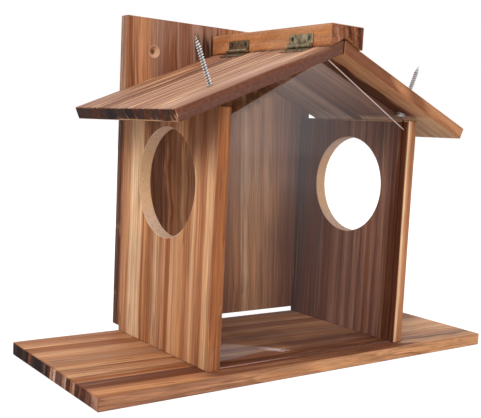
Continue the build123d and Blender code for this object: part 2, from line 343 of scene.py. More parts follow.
def edge_figure(shader, bands, runs):
    """The bands through the long edges, recoloured along the runs, and with painted shade inside a groove."""
    depth = shader.depth + shader.drift(0.01, 0.05, 2.0, shift=4.1)
    colour = shader.banded(depth, bands, shader.board.thickness)
    slanted = shader.along + shader.depth * 1.6 + shader.drift(0.02, 0.2, 7.0, shift=6.1)
    for start, end, tint, strength in runs:
        inside = shader.window(slanted, start, end, 5)
        colour = shader.mix(inside * strength, colour, tint)
    # Painted shade: dark inside a groove.
    shaded_groove = shader.window(shader.side, 2.0, shader.board.width - 2.0, 0.5)
    return shader.mix(shaded_groove, colour, BARK)


def end_figure(shader, bands, chip, torn):
    """Sawn ends, burnt nearly black, with some rings as lighter bars."""
    side, depth = shader.side, shader.depth
    ring = shader.ring + shader.below * -0.15
    colour = shader.banded(ring, bands, shader.board.width, "CONSTANT")
    colour = shader.shade(colour, shader.remap(shader.pores, 0.3, 0.7, 0.6, 1.4))
    colour = shader.shade(colour, shader.spread(shader.middle, 0.75, 1.25))
    if chip:
        slope = side - depth * (chip / shader.board.thickness)
        colour = shader.mix(shader.remap(slope, -0.7, 0.7, 0.8, 0.0), colour, FAWN)
    for start, end, top in torn:
        slanted = shader.vector((side - depth * 0.5) * 0.55, depth * 0.1, shader.seed)
        tips = shader.noise(shader.vector(side * 0.25, shader.seed, 0.0))
        fibres = shader.remap(depth, 0.0, shader.spread(tips, 0.3, 1.0) * top, 1.0, 0.0)
        fibres *= shader.remap(shader.noise(slanted, detail=1.0), 0.54, 0.61)
        fibres = shader.larger(fibres, shader.remap(depth, 1.2, 2.0, 1.0, 0.0))
        fibres *= shader.window(side, start, end, 5)
        colour = shader.mix(fibres * 0.8, colour, PALE)
    return colour


def add_stains_and_painted_light(shader, colour, stains_and_painted_light):
    """The stains and the painted light and shade, with ends that the grain makes ragged and patches that hold
    less colour.
    """
    side = shader.ring + shader.drift(0.03, 0.06, 8.0, shift=8.9)
    on_shown_side = shader.face_mask * shader.remap(abs(shader.below), 1.0, 2.0, 1.0, 0.0)
    for stain_and_painted_light in stains_and_painted_light:
        along = shader.along + (shader.middle - 0.5) * stain_and_painted_light.ragged
        inside = shader.window(along, *stain_and_painted_light.along, stain_and_painted_light.soft)
        inside *= shader.window(side, *stain_and_painted_light.across, 0.3 * stain_and_painted_light.soft)
        patchy = shader.remap(shader.blotch, 0.3, 0.6, 0.6 * stain_and_painted_light.strength, stain_and_painted_light.strength)
        colour = shader.mix(inside * patchy * on_shown_side, colour, stain_and_painted_light.colour)
    return colour


def add_grain(shader, colour, burn, light_lines, edge_streaks):
    """Streaks, rings and thin lines along the grain, and burnt blotches. On the long edges the
    streaks show by a share, edge_streaks, and a mottle makes up the rest."""
    tone = shader.remap(shader.growth, 0.0, 1.0, 1.1, 0.92)
    for field, darkest, lightest in (
        (shader.middle, 0.86, 1.1), (shader.fine, 0.84, 1.14), (shader.fibre, 0.89, 1.11),
    ):
        tone *= shader.spread(field, darkest, lightest)
    share = shader.between(shader.edge_mask, 1.0, edge_streaks)
    mottle_share = shader.between(shader.edge_mask, 0.0, 1.0 - edge_streaks)
    mottled = shader.spread(shader.mottle, 0.8, 1.2) * mottle_share
    colour = shader.shade(colour, tone * share + mottled)
    hair = shader.larger(shader.threads(0.21, 0.5, 0.03, 23.1), shader.threads(0.34, 0.56, 0.025, 29.3))
    hairy = shader.streaks(0.008, 0.07, detail=2.0, shift=37.3)
    hair *= shader.remap(hairy, 0.44, 0.58, 0.15, 1.0)
    glint = shader.threads(0.17, 0.53, 0.03, 31.7)
    for lines, strength, tint in (
        (shader.late, 0.5, UMBER), (hair, 0.55, UMBER), (glint, light_lines, CREAM),
    ):
        colour = shader.mix(lines * share * strength, colour, tint)
    return shader.mix(shader.remap(shader.blotch, 0.45, 0.75, 0.0, burn), colour, UMBER)


def add_cuts(shader, colour, cuts):
    """Surfaces left pale by the saw. They reach a little past a cut's radius, to take in its wall."""
    for cut in cuts:
        centre = [value / MM for value in cut.centre]
        in_plane = [1.0 - abs(value) for value in cut.axis]
        offset = shader.vector_math("SUBTRACT", shader.place, centre)
        offset = shader.vector_math("MULTIPLY", offset, in_plane)
        sideways = shader.remap(abs(shader.dot(offset, UP)) / cut.radius, 0.45, 0.8, 1.0, 0.0)
        sawn = shader.mix(sideways, cut.end_grain, cut.side_grain)
        sawn = shader.shade(sawn, shader.spread(shader.pores * 0.4 + shader.mottle * 0.6, 0.84, 1.1))
        scorch = shader.remap(shader.mottle, 0.54, 0.64) * shader.between(sideways, 0.55, 0.1)
        sawn = shader.mix(scorch, sawn, BROWN)
        inside = shader.remap(shader.length(offset), cut.radius + 0.45, cut.radius + 0.7, 1.0, 0.0)
        colour = shader.mix(inside, colour, sawn)
    return colour


def wood(name, board, face, edge, ends, seed, wander=1.6, tilt=0.0, pivot=0.0, burn=0.3,
         light_lines=0.12, edge_streaks=1.0, chip=0.0, torn=(), stains_and_painted_light=(), runs=(), cuts=()):
    """Flame-darkened board. face runs across the board, edge through its thickness on the two
    long edges and ends across its sawn ends, each as bands of (mm, colour). wander is about how
    many mm the bands stray, and tilt how far they move aside per mm along the grain from pivot.
    burn, light_lines and edge_streaks are strengths. chip is how far a pale chip reaches across
    the ends at their top. torn is pale torn fibres on the ends, as (from, to, height). runs
    recolour the long edges, as (from, to, colour, strength) along the grain.
    The stains, with painted light and shade among them, and the cuts come as lists of the named tuples above."""
    shader = WoodShader(name, board, seed, wander, tilt, pivot)
    colour = shader.mix(shader.edge_mask, face_figure(shader, face), edge_figure(shader, edge, runs))
    colour = add_stains_and_painted_light(shader, colour, stains_and_painted_light)
    colour = add_grain(shader, colour, burn, light_lines, edge_streaks)
    colour = shader.mix(shader.end_mask, colour, end_figure(shader, ends, chip, torn))
    # The eased edges caught the flame too.
    flats = shader.larger(shader.larger(shader.end_mask, shader.edge_mask), shader.face_mask)
    colour = shader.mix(shader.between(flats, 0.4, 0.0), colour, UMBER)
    colour = add_cuts(shader, colour, cuts)
    relief = shader.fine * 0.7 + shader.fibre * 0.15 - shader.late * 0.3
    return shader.finish(shader.surface("ShaderNodeBsdfPrincipled", {
        "Base Color": colour,
        "Roughness": shader.remap(shader.fine, 0.3, 0.7, 0.66, 0.52),
        "Specular IOR Level": 0.07,
        "Normal": shader.bump(relief, 0.25 * MM),
    }))


# ---------- other materials
ACRYLIC_IOR = 1.49
FOOT_FADE = (0.012, 0.014)      # heights between which the painted glow at the foot of the sheet's edge ends
FOOT_SIDES = (-0.09, 0.0)       # it dims from the left to the middle, in metres
FOOT_GLOW = (1.0, 0.15)
CROWN_SIDES = (0.0, 0.004)      # where the painted glow on the right half of the edge starts
CROWN_GLOW = 0.08


def metal(name, tint, dark, roughness, grime, grime_scale, painted_dark_middle=0.0):
    """Plated metal with a mottled, slightly tarnished skin. The last argument paints a reflection: it darkens
    what faces the viewer, leaving the rims bright.
    """
    shader = Shader(bpy.data.materials.new(name))
    place = shader.node("ShaderNodeTexCoord").outputs["Object"]
    mottle = shader.noise(place, detail=4.0, roughness=0.6, scale=grime_scale)
    speck = shader.noise(place, detail=2.0, scale=grime_scale * 6)
    stain_and_painted_light = shader.remap(mottle, 0.38, 0.66, 0.0, grime)
    stain_and_painted_light = shader.larger(stain_and_painted_light, shader.remap(speck, 0.62, 0.72, 0.0, grime))
    # A painted reflection: darker where the metal faces the viewer.
    if painted_dark_middle:
        facing = shader.value("ShaderNodeLayerWeight", {"Blend": 0.5}, "Facing")
        stain_and_painted_light = shader.larger(stain_and_painted_light, shader.remap(facing, 0.12, 0.4, painted_dark_middle, 0.0))
    return shader.finish(shader.surface("ShaderNodeBsdfPrincipled", {
        "Base Color": shader.mix(stain_and_painted_light, srgb(*tint), srgb(*dark)),
        "Metallic": 1.0,
        "Roughness": shader.spread(mottle, roughness, roughness + 0.18),
        "Normal": shader.bump(speck, 0.02 * MM),
    }))


def clear_acrylic():
    """A thin clear sheet that mirrors a little from its outer faces, with pale sawn edges that have a
    painted glow at the left foot and a fainter one on the right half."""
    shader = Shader(bpy.data.materials.new("clear_acrylic"))
    source = shader.node("ShaderNodeTexCoord")
    place = source.outputs["Object"]
    edge_mask = shader.remap(abs(shader.dot(source.outputs["Normal"], REAR)), 0.4, 0.6, 1.0, 0.0)

    smudge = shader.noise(place, detail=3.0, scale=14.0)
    tint = shader.mix(shader.spread(smudge, 0.0, 1.0), WHITE, (0.98, 0.98, 0.98, 1.0))
    clear = shader.surface("ShaderNodeBsdfTransparent", {"Color": tint})
    outside = 1.0 - shader.value("ShaderNodeNewGeometry", output="Backfacing")
    mirror = shader.value("ShaderNodeFresnel", {"IOR": ACRYLIC_IOR}) * outside
    gloss = shader.surface("ShaderNodeBsdfGlossy", {
        "Color": shader.mix(mirror, BLACK, (0.97, 0.94, 0.95, 1.0)), "Roughness": 0.04,
    })

    across, height = shader.dot(place, RIGHT), shader.dot(place, UP)
    # Painted glow on the sawn edge: strong at the left foot, faint on the right half.
    foot = shader.remap(height, *FOOT_FADE, 1.0, 0.0) * shader.remap(across, *FOOT_SIDES, *FOOT_GLOW)
    crown = shader.remap(across, *CROWN_SIDES, 0.0, CROWN_GLOW)
    sawn = shader.noise(place, detail=2.0, scale=600.0)
    edge = shader.surface("ShaderNodeBsdfPrincipled", {
        "Base Color": shader.mix(sawn, srgb(236, 214, 208), srgb(250, 240, 238)),
        "Roughness": 0.3,
        "Specular IOR Level": 0.6,
        "Emission Color": srgb(255, 232, 222),
        "Emission Strength": foot + crown,
    })
    return shader.finish(shader.mix_surfaces(edge_mask, shader.add_surfaces(clear, gloss), edge))


# ---------- the boards' figures
BASE_FACE = [
    (0, CLAY), (4, HONEY), (14, TAN), (16.5, RUST), (18, UMBER), (25, UMBER), (31, PLUM), (32.5, CLAY),
    (34, TAN), (36, RUST), (44, RUST), (46.5, BARK), (48, PALE), (53, TAN), (59, CLAY), (64.5, RUST),
    (67, PALE), (73, HONEY), (79, CLAY), (84, CLAY), (86, FAWN), (98, CLAY), (103, TAN), (113, PALE),
    (118, TAN), (120, CLAY), (132, RUST), (135, PALE), (144, TAN), (151, CLAY), (154, TAN), (160, FAWN),
]
BASE_EDGE = [(0, TAN), (5, HONEY), (9.5, TAN), (10.8, CLAY)]
BASE_ENDS = [
    (0, MAUVE), (7, UMBER), (12, PLUM), (17, BARK), (25, PLUM), (27.5, BARK), (35, FAWN), (38.5, BROWN),
    (42, BARK), (50, ROSE), (53, MAUVE), (57, PLUM), (70, BLUSH), (73.5, MAUVE), (77, FAWN),
    (79.5, BARK), (84, SOOT_AND_SHADOW), (89, PLUM), (93, CHAR), (97, SOOT_AND_SHADOW), (112, CHAR), (118, UMBER),
    (123, SOOT_AND_SHADOW), (130, CHAR), (137, SOOT_AND_SHADOW), (149, CHAR), (153, SOOT_AND_SHADOW),
]
LEFT_WALL_FACE = [
    (0, RUST), (5, PALE), (10, PALE), (13, TAN), (16, RUST), (20, CLAY), (24, TAN), (28, PALE),
    (31.5, TAN), (34, CLAY), (38, CLAY), (47, HONEY), (51, PALE), (56, TAN), (61, PALE), (63.5, RUST),
    (67, RUST), (71, TAN), (77, TAN), (80, CLAY), (84, CREAM), (90, TAN), (93, CLAY), (98, RUST),
    (105, HONEY), (108, RUST), (111, PALE), (117, CREAM), (129, CREAM), (135, TAN), (144, TAN),
    (147, BROWN),
]
LEFT_WALL_EDGE = [(0, BROWN), (2, RUST), (5.5, RUST), (7, AMBER), (8.5, RUST), (11, BROWN)]
# The bark-dark bands at the front paint the shadow on the strip in front of the clear window.
RIGHT_WALL_FACE = [
    (0, BARK), (14, BARK), (16.5, UMBER), (20, PLUM), (26, MAUVE), (31, PLUM), (36, MAUVE), (40, UMBER),
    (45, MAUVE), (50, PLUM), (57, MAUVE), (62, PLUM), (70, MAUVE), (76, PLUM), (84, MAUVE), (92, UMBER),
    (112, PLUM), (124, UMBER), (132, PLUM), (148, CHAR),
]
# The cream band next to the inner face is a painted highlight along that edge.
RIGHT_WALL_EDGE = [(0, TAN), (1, CREAM), (2.6, CREAM), (4, TAN), (6.5, CLAY), (9, CLAY), (11, TAN)]
BACK_FACE = [
    (0, CLAY), (6, CLAY), (10, BROWN), (13, BROWN), (17, TAN), (24, TAN), (28, CLAY), (34, FAWN),
    (38, MAUVE), (50, BROWN), (54, UMBER), (58, MAUVE), (62, BROWN), (71, MAUVE), (75, ROSE),
    (78, MAUVE), (81, UMBER), (90, UMBER), (94, BROWN), (104, BROWN), (115, CLAY), (119, TAN),
    (125, CLAY), (132, CREAM), (138, TAN), (147, PALE), (152, TAN), (158, PALE), (166, TAN),
    (176, CLAY), (188, BROWN), (205, UMBER),
]
DARK_EDGE = [(0, RUST), (2, UMBER), (4, CHAR), (8, PLUM), (12, CHAR)]
DARK_ENDS = [(0, UMBER), (20, CHAR), (45, UMBER), (60, CHAR), (100, UMBER), (150, CHAR)]
WALL_TOPS = [(0, CREAM), (100, PALE), (125, TAN)]
ROOF_FACE = [
    (0, MAUVE), (3, FAWN), (14, ROSE), (22, BLUSH), (25, FAWN), (35, FAWN), (41, FAWN), (52, MAUVE),
    (61, FAWN), (66, FAWN), (72, BROWN), (75, FAWN), (79, ROSE), (84, ROSE), (88, FAWN), (90, BROWN),
    (93, FAWN), (97, MAUVE), (100, MAUVE), (103, BROWN), (109, PLUM), (125, PLUM), (129, BROWN),
    (133, FAWN), (137, MAUVE), (142, MAUVE), (150, BROWN), (156, MAUVE), (162, BROWN),
]
ROOF_EDGE = [(0, CHAR), (2, PLUM), (6, PLUM), (8, UMBER), (10, PLUM)]
ROOF_ENDS = [
    (0, BARK), (8, CHAR), (14, BARK), (24, CHAR), (34, BARK), (46, CHAR), (54, BARK), (62, SOOT_AND_SHADOW),
    (74, CHAR), (90, SOOT_AND_SHADOW), (104, CHAR), (118, BARK), (132, CHAR), (158, CHAR),
]
RIGHT_ROOF_FACE = [
    (0, TAN), (8, HONEY), (14, CLAY), (22, BROWN), (34, PLUM), (46, FAWN), (56, FAWN), (66, MAUVE),
    (80, MAUVE), (90, BROWN), (98, PLUM), (105, MAUVE), (110, BLUSH), (117, BLUSH), (126, FAWN),
    (134, BLUSH), (142, ROSE), (150, FAWN), (162, BROWN),
]
RIGHT_ROOF_EDGE = [(0, RUST), (3, CLAY), (7, TAN), (10, CLAY)]
CAP_FACE = [(0, AMBER), (8, HONEY), (14, AMBER), (20, HONEY), (28, RUST), (34, BROWN)]
# The pale bands at the top of the cap's sides are a painted highlight along its top edge.
CAP_EDGE = [
    (0, SOOT_AND_SHADOW), (0.8, BARK), (1.6, RUST), (3, AMBER), (7, TAN), (12, AMBER), (16, TAN), (18, PALE),
]
CAP_ENDS = [
    (0, BROWN), (5, MAUVE), (7, BROWN), (11, UMBER), (14, BROWN), (17, BARK), (20, UMBER), (23, BROWN),
    (25, UMBER), (27, BARK), (30, UMBER), (32, BARK),
]

# How far each board's bands run across it and through it.
BASE_SPAN = (160, 10.8)
WALL_SPAN = (148, 11)
BACK_SPAN = (209, 12)
ROOF_SPAN = (162, 10)
CAP_SPAN = (34, 18)

DOORWAY_RADIUS = 44.25
HANGER_SINK_RADIUS = 5.0
ROOF_PITCH = math.radians(22.5)
ROOF_THICKNESS = 10.0
sine, cosine = math.sin(ROOF_PITCH), math.cos(ROOF_PITCH)
roof_start = low_corner["left_roof_panel"].y
roof_under = high_corner["left_roof_panel"].z * cosine - ROOF_THICKNESS
wall_outer = high_corner["right_wall"].x


# A stain, an area of painted light or shade, or a run that ends past the board's own edge goes on to that
# edge.
def base_wood():
    """Dark in the house, from stains and painted shade under the roof, and paler outside it, where the board
    is a perch.
    """
    board = Board(RIGHT, REAR, low_corner["base_board"].y, 0, *BASE_SPAN, shown_depth=BASE_SPAN[1])
    house, right_perch = (-wall_outer, wall_outer), (wall_outer, 260)
    stains_and_painted_light = [
        # In the house: stains, with painted shade under the roof.
        Stain(house, (-9, 62), UMBER, 0.75, 6),
        Stain(house, (58, 92), UMBER, 0.5, 6),
        Stain(house, (92, 112), UMBER, 0.25, 6),
        Stain(house, (-9, 14), UMBER, 0.7, 5),
        Stain((5, 110), (-9, 18), BARK, 0.5, 8),
        Stain((-wall_outer, -5), (27, 34.5), BARK, 0.95, 2.5, 10),
        Stain((-5, wall_outer), (30, 38), BARK, 0.95, 2.5, 10),
        Stain((0, wall_outer), (43, 73), BARK, 0.6, 6, 30),
        Stain((-24, 26), (60, 108), BARK, 0.5, 6, 30),
        Stain((-34, 66), (114, 190), FAWN, 0.4, 6, 40),
        Stain((-260, -wall_outer), (42, 104), PALE, 0.35, 6),
        # Painted shade, warm and reddish, on the perch next to the left wall.
        Stain((-132, -104), (36, 150), RUST, 0.4, 16),
        Stain(right_perch, (-9, 190), BLUSH, 0.25, 6),
        Stain(right_perch, (13, 25), CREAM, 0.45, 6),
        Stain(right_perch, (28, 37), ROSE, 0.5, 5),
        Stain(right_perch, (38, 83), CREAM, 0.5, 6),
        Stain(right_perch, (89, 117), UMBER, 0.5, 6),
    ]
    return wood(
        "base_wood", board, BASE_FACE, BASE_EDGE, BASE_ENDS, seed=1.0, wander=1.3, tilt=0.035,
        pivot=-160, chip=12.0, stains_and_painted_light=stains_and_painted_light,
        runs=[(-260, -75, MAUVE, 0.6), (-75, -3, MAUVE, 0.35), (4, 260, PALE, 0.35)],
    )


def wall_wood(side, face, edge, seed, stains_and_painted_light):
    """A side wall, with its doorway's rim left pale by the saw."""
    corner = low_corner[side + "_wall"]
    near, far = openings[side + "_doorway"]["box_m"]
    centre = [(a + b) / 2 for a, b in zip(near, far)]
    doorway = Cut(centre, RIGHT, DOORWAY_RADIUS, srgb(210, 178, 154), srgb(214, 172, 132))
    return wood(
        side + "_wall_wood", Board(UP, REAR, corner.y, corner.x, *WALL_SPAN, shown_depth=0),
        face, edge, WALL_TOPS, seed=seed, stains_and_painted_light=stains_and_painted_light, cuts=[doorway],
    )


def left_wall_wood():
    return wall_wood("left", LEFT_WALL_FACE, LEFT_WALL_EDGE, seed=5.0, stains_and_painted_light=[
        # The first two are painted shadow of the roof over the top of the wall.
        Stain((172, 240), (-9, 42), UMBER, 0.8, 14),
        Stain((196, 240), (30, 160), BROWN, 0.4, 12),
        Stain((182, 240), (84, 104), BARK, 0.7, 8),
    ])


def right_wall_wood():
    return wall_wood("right", RIGHT_WALL_FACE, RIGHT_WALL_EDGE, seed=9.0, stains_and_painted_light=[
        Stain((172, 240), (12, 44), CHAR, 0.6, 14),
        # Painted highlight along the top of the inner face, where its edge catches the light.
        Stain((208.7, 216), (-9, 108), CREAM, 0.4, 0.4, 0),
        Stain((208.7, 216), (-9, 86), CREAM, 0.9, 0.4, 0),
    ])


def back_wood():
    """The sinks of its hanging holes are left pale by the drill."""
    corner = low_corner["back_board"]
    middle, _, height = mounts["hanging_holes"]["pos_m"]
    half = mounts["hanging_holes"]["dims"]["spacing_x_mm"] / 2 * MM
    tint = srgb(202, 160, 130)
    sinks = [
        Cut((middle + offset, 0, height), REAR, HANGER_SINK_RADIUS, tint, tint) for offset in (-half, half)
    ]
    stains_and_painted_light = [
        Stain((40, 196), (20, 41), UMBER, 0.7, 8),
        Stain((60, 200), (50, 80), TAN, 0.7, 6),
        Stain((80, 190), (60, 66), PALE, 0.6, 4),
        Stain((80, 182), (44, 47), TAN, 0.9, 3),
        # Painted shadow of the ridge cap on the board, left of the cap's rear end.
        Stain((228, 277), (75, 125), SOOT_AND_SHADOW, 0.9, 5, 10),
        Stain((264, 300), (32, 54), ROSE, 0.4, 6),
        Stain((276, 300), (76, 106), ROSE, 0.5, 4),
        Stain((40, 190), (129, 136), CREAM, 0.5, 3),
        Stain((-9, 100), (150, 190), PLUM, 0.4, 14),
        # A dark band in four steps, rising to the right.
        Stain((207, 218), (100, 120), BARK, 0.95, 4, 0),
        Stain((214, 225), (115, 134), BARK, 0.95, 4, 0),
        Stain((221, 233), (130, 149), BARK, 0.95, 4, 0),
        Stain((229, 240), (145, 164), BARK, 0.95, 4, 0),
    ]
    return wood(
        "back_wood", Board(UP, RIGHT, corner.x, corner.y, *BACK_SPAN, shown_depth=0),
        BACK_FACE, DARK_EDGE, DARK_ENDS, seed=13.0, wander=1.8, tilt=0.05, pivot=150, burn=0.15,
        stains_and_painted_light=stains_and_painted_light, runs=[(214, 320, FAWN, 0.85)], cuts=sinks,
    )


def left_roof_wood():
    """Seen from above, with pale torn fibres at the eave, where its grain starts."""
    corner = low_corner["left_roof_panel"]
    eave = corner.x * cosine + (corner.z + ROOF_THICKNESS * cosine) * sine
    board = Board((cosine, 0, sine), REAR, roof_start, roof_under, *ROOF_SPAN, shown_depth=ROOF_THICKNESS)
    stains_and_painted_light = [
        # Painted sheen on the front part of the top.
        Stain((eave + 45, eave + 105), (-9, 34), BLUSH, 0.3, 20),
        Stain((eave - 20, eave + 36), (132, 170), BLUSH, 0.4, 12),
        Stain((eave - 30, eave + 170), (-9, 190), MAUVE, 0.3, 5),
        Stain((eave + 10, eave + 100), (104, 122), UMBER, 0.5, 9),
        Stain((eave + 116, eave + 190), (-9, 26), BROWN, 0.45, 10),
        Stain((eave + 62, eave + 130), (124, 170), RUST, 0.6, 14),
    ]
    return wood(
        "left_roof_wood", board, ROOF_FACE, ROOF_EDGE, ROOF_ENDS, seed=17.0, wander=1.0,
        light_lines=0.9, edge_streaks=0.1, torn=[(-5, 9, 12.0), (24, 90, 6.0)], stains_and_painted_light=stains_and_painted_light,
    )


def right_roof_wood():
    """Its underside is seen most: over the house, and past the right wall."""
    stains_and_painted_light = [
        # Painted light on the underside's front strip, and painted shade just behind the top of the clear
        # window.
        Stain((-130, -12), (-9, 20), PALE, 0.45, 6),
        Stain((-16, 16), (-9, 18), CREAM, 0.4, 6),
        Stain((-82, 10), (21, 36), BARK, 0.95, 5, 10),
        Stain((16, 90), (-9, 90), CREAM, 0.9, 3, 10),
        Stain((-50, 14), (118, 190), UMBER, 0.45, 8),
    ]
    return wood(
        "right_roof_wood", Board((cosine, 0, -sine), REAR, roof_start, roof_under, *ROOF_SPAN, shown_depth=0),
        RIGHT_ROOF_FACE, RIGHT_ROOF_EDGE, ROOF_ENDS, seed=21.0, edge_streaks=0.7, stains_and_painted_light=stains_and_painted_light,
        runs=[(-120, -26, UMBER, 0.8), (-8, 14, UMBER, 0.7)],
    )


def cap_wood():
    corner = low_corner["ridge_cap"]
    return wood(
        "cap_wood", Board(REAR, RIGHT, corner.x, corner.z, *CAP_SPAN, shown_depth=CAP_SPAN[1]),
        CAP_FACE, CAP_EDGE, CAP_ENDS, seed=25.0, edge_streaks=0.35,
        runs=[(-90, -62, CLAY, 0.5), (-44, 2, PALE, 0.3), (10, 24, CLAY, 0.4), (74, 100, RUST, 0.5)],
    )


def dress(node, material):
    mesh = nodes[node].data
    mesh.materials.clear()
    mesh.materials.append(material)


# ---------- screws
SCREW_SIDES = 32
SMOOTH_BELOW = math.radians(32)  # edges that turn by more stay sharp
RECESS_ARM = 0.62    # the cross recess's sizes, as shares of the crown's radius
RECESS_WIDTH = 0.2
RECESS_DEPTH = 0.5
RECESS_TAPER = 0.5   # its floor's size, as a share of its mouth's

WOOD_SCREW = (1.75, 2.2)   # the shank's radius and the head's height
SMALL_SCREW = (1.0, 1.0)

SPIKE_LENGTH = 47.5
SPIKE_POINT = 7.0
SPIKE_POINT_SHAPE = 0.8    # 1 is a straight cone, and less is a rounder one
SPIKE_THREAD_START = 10.5
SPIKE_SHANK_RADIUS = 1.6
SPIKE_CORE_RADIUS = 1.25
SPIKE_PITCH = 2.0
SPIKE_HEAD = 4.0
SPIKE_HEAD_RADIUS = 4.5
SPIKE_CROWN_RADIUS = 3.2
SPIKE_SEAT = -0.01         # the height of the head's underside
THREAD_STEPS = 8           # rows of the thread's mesh in one turn
THREAD_FLANK = 0.3         # how wide each flank is, as a share of the pitch
# The grooves of a spike's thread take a darker metal, which paints shade into them.
GROOVE_SHADE_SLOT, FLANK_SLOT = 1, 2  # places in a spike's list of materials

Screw = namedtuple("Screw", "head direction head_radius length")


def ring(bm, radius, height):
    turn = 2 * math.pi / SCREW_SIDES
    return [
        bm.verts.new((radius * math.cos(i * turn), radius * math.sin(i * turn), height))
        for i in range(SCREW_SIDES)
    ]


def bridge(bm, lower, upper):
    count = len(lower)
    for i in range(count):
        bm.faces.new((lower[i], lower[(i + 1) % count], upper[(i + 1) % count], upper[i]))


def cross_loop(bm, reach, width, height):
    """The twelve corners of a plus sign."""
    corners = []
    for quarter in range(4):
        turn = quarter * math.pi / 2
        for x, y in ((reach, -width), (reach, width), (width, width)):
            corners.append(bm.verts.new((
                x * math.cos(turn) - y * math.sin(turn),
                x * math.sin(turn) + y * math.cos(turn),
                height,
            )))
    return corners


def add_cross_recess(bm, crown, crown_radius, face_height):
    """Fills a crown's rim with a flat face that has a cross recess. The recess goes towards +Z."""
    reach, width = RECESS_ARM * crown_radius, RECESS_WIDTH * crown_radius
    mouth = cross_loop(bm, reach, width, face_height)
    floor_height = face_height + RECESS_DEPTH * crown_radius
    floor = cross_loop(bm, reach * RECESS_TAPER, width * RECESS_TAPER, floor_height)
    edges = []
    for loop in (crown, mouth):
        for i, vertex in enumerate(loop):
            after = loop[(i + 1) % len(loop)]
            edges.append(bm.edges.get((vertex, after)) or bm.edges.new((vertex, after)))
    bmesh.ops.triangle_fill(bm, edges=edges, use_beauty=True)
    bridge(bm, mouth, floor)
    bm.faces.new(floor)


def add_turned(bm, profile):
    """A turned skin along a profile of (radius, height), whose last radius may be 0 for a point.
    Gives the first ring, which stays open."""
    rings = [ring(bm, radius, height) for radius, height in profile if radius > 0]
    for lower, upper in zip(rings, rings[1:]):
        bridge(bm, lower, upper)
    if profile[-1][0] == 0:
        tip = bm.verts.new((0, 0, profile[-1][1]))
        last = rings[-1]
        for i in range(SCREW_SIDES):
            bm.faces.new((last[i], last[(i + 1) % SCREW_SIDES], tip))
    return rings[0]


def thread_radius(height, phase, crest):
    """Radius of a sharp thread at a height, drawn in to nothing over the point. phase is the
    distance to the crest, as a share of the pitch."""
    flank = max(0.0, 1 - abs(phase) / THREAD_FLANK)
    point = min(1.0, max(0.0, (SPIKE_LENGTH - height) / SPIKE_POINT))
    return (SPIKE_CORE_RADIUS + (crest - SPIKE_CORE_RADIUS) * flank) * point ** SPIKE_POINT_SHAPE


def thread_slot(row):
    shaded_groove = row % THREAD_STEPS in (0, 1, THREAD_STEPS - 1)
    return GROOVE_SHADE_SLOT if shaded_groove else FLANK_SLOT


def add_thread(bm, crest):
    """A right-handed thread up to the spike's point. Each row of points runs along the helix."""
    start, end = SPIKE_THREAD_START, SPIKE_LENGTH
    turns = math.ceil((end - start) / SPIKE_PITCH) + 1
    grid = []
    for row in range(-THREAD_STEPS, turns * THREAD_STEPS + 1):
        line = []
        for i in range(SCREW_SIDES):
            share = i / SCREW_SIDES
            height = min(end, max(start, start + SPIKE_PITCH * (row / THREAD_STEPS + share)))
            phase = (row % THREAD_STEPS) / THREAD_STEPS - 0.5
            radius = thread_radius(height, phase, crest)
            turn = 2 * math.pi * share
            line.append(bm.verts.new((radius * math.cos(turn), radius * math.sin(turn), height)))
        grid.append(line)
    for index, (lower, upper) in enumerate(zip(grid, grid[1:])):
        for i in range(SCREW_SIDES - 1):
            face = bm.faces.new((lower[i], lower[i + 1], upper[i + 1], upper[i]))
            face.material_index = thread_slot(index)
    # The seam: the last point of a row meets the first point of the row one turn up.
    for index in range(len(grid) - THREAD_STEPS - 1):
        lower, upper = grid[index], grid[index + 1]
        lower_next, upper_next = grid[index + THREAD_STEPS], grid[index + THREAD_STEPS + 1]
        face = bm.faces.new((lower[-1], lower_next[0], upper_next[0], upper[-1]))
        face.material_index = thread_slot(index)


def spike_bmesh(crest):
    bm = bmesh.new()
    first = add_turned(bm, [
        (SPIKE_CROWN_RADIUS, -SPIKE_HEAD), (3.9, -3.75), (4.3, -3.2), (4.48, -2.5),
        (SPIKE_HEAD_RADIUS, -1.6), (SPIKE_HEAD_RADIUS, -0.15), (4.35, SPIKE_SEAT),
        (SPIKE_SHANK_RADIUS, SPIKE_SEAT), (SPIKE_SHANK_RADIUS, SPIKE_THREAD_START),
    ])
    add_cross_recess(bm, first, SPIKE_CROWN_RADIUS, -SPIKE_HEAD)
    add_thread(bm, crest)
    return bm


def flat_screw_bmesh(screw, shank_radius, head):
    bm = bmesh.new()
    point = 2 * shank_radius
    rim = add_turned(bm, [
        (screw.head_radius, 0), (shank_radius, head), (shank_radius, screw.length - point),
        (0, screw.length),
    ])
    add_cross_recess(bm, rim, screw.head_radius, 0)
    return bm


def body_of(node):
    groups = frame["record"]["behaviour"]["bodies"]
    return next(body for body, members in groups.items() if node in members)


def add_piece(bm, name, places, materials, slot, node):
    """One object in place of a node: a copy of bm, in mm along +Z, at each (origin, direction)."""
    bmesh.ops.remove_doubles(bm, verts=bm.verts, dist=0.002)
    bmesh.ops.recalc_face_normals(bm, faces=bm.faces)
    source = bpy.data.meshes.new(name + "_one")
    bm.to_mesh(source)
    bm.free()
    whole = bmesh.new()
    for origin, direction in places:
        turn = Vector(UP).rotation_difference(direction).to_matrix().to_4x4()
        placed = source.copy()
        placed.transform(Matrix.Translation(origin) @ turn @ Matrix.Scale(MM, 4))
        whole.from_mesh(placed)
        bpy.data.meshes.remove(placed)
    bpy.data.meshes.remove(source)
    mesh = bpy.data.meshes.new(name)
    whole.to_mesh(mesh)
    whole.free()
    for polygon in mesh.polygons:
        polygon.use_smooth = True
    mesh.set_sharp_from_angle(angle=SMOOTH_BELOW)
    for material in materials:
        mesh.materials.append(metals[material])
    piece = bpy.data.objects.new(name, mesh)
    scene.collection.objects.link(piece)
    body = body_of(node)
    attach(piece, body)
    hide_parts(node)


